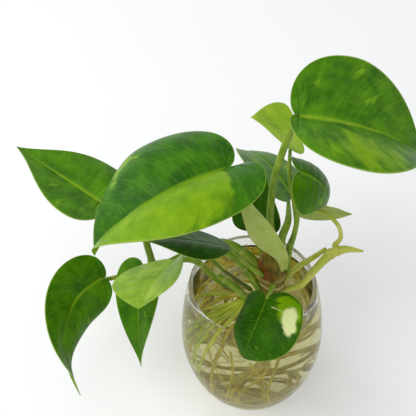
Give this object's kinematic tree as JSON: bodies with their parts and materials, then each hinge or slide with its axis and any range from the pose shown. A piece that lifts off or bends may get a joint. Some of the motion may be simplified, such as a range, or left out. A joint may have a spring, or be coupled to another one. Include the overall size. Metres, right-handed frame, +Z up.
{
  "type": "potted pothos cutting in a glass jar of water",
  "caption": "Heart-leaved variegated pothos cutting rooted in a clear round-bellied glass jar of water, with trailing leaves.",
  "frame": {"origin": "centre of the jar's flat foot, on the surface it stands on", "axes": "+Z up along the jar's axis; the longest spread of leaves runs along X, with the highest leaf towards +X, and the leaf that hangs over the rim is towards -Y"},
  "size_m": [0.2548, 0.161, 0.2385],
  "materials": {
    "jar_glass": "polished",
    "water": "polished",
    "leaf_variegated": "satin",
    "leaf_lime": "satin",
    "leaf_dark": "satin",
    "green_stem": "satin",
    "sheath": "satin",
    "pale_stem": "satin",
    "old_stem": "matte",
    "root": "satin"
  },
  "bodies": {
    "root": {"glass_jar": "jar_glass", "leaf_back_centre": "leaf_dark", "leaf_back_top": "leaf_lime", "leaf_far_left": "leaf_variegated", "leaf_front": "leaf_variegated", "leaf_low_left": "leaf_variegated", "leaf_low_pointed": "leaf_variegated", "leaf_low_small": "leaf_lime", "leaf_main": "leaf_variegated", "leaf_right": "leaf_dark", "leaf_right_under": "leaf_lime", "leaf_under_main": "leaf_dark", "leaf_upper_right": "leaf_variegated", "leaf_upper_small": "leaf_lime", "old_stem": "old_stem", "root_back_left": "root", "root_back_right": "root", "root_coil": "root", "root_front": "root", "root_left_wall": "root", "root_middle": "root", "root_right_wall": "root", "root_upper_left": "root", "shoot_left": "green_stem", "shoot_low": "green_stem", "shoot_water": "green_stem", "side_shoot": "pale_stem", "side_twig": "pale_stem", "stalk_back_centre": "green_stem", "stalk_back_top": "green_stem", "stalk_far_left": "green_stem", "stalk_front": "green_stem", "stalk_low_pointed": "green_stem", "stalk_low_small": "green_stem", "stalk_main": "sheath", "stalk_right": "green_stem", "stalk_right_under": "pale_stem", "stalk_under_main": "green_stem", "stalk_upper_right": "green_stem", "stalk_upper_small": "green_stem", "trailing_stem": "green_stem", "trailing_twig": "green_stem", "water": "water"}
  },
  "joints": []
}
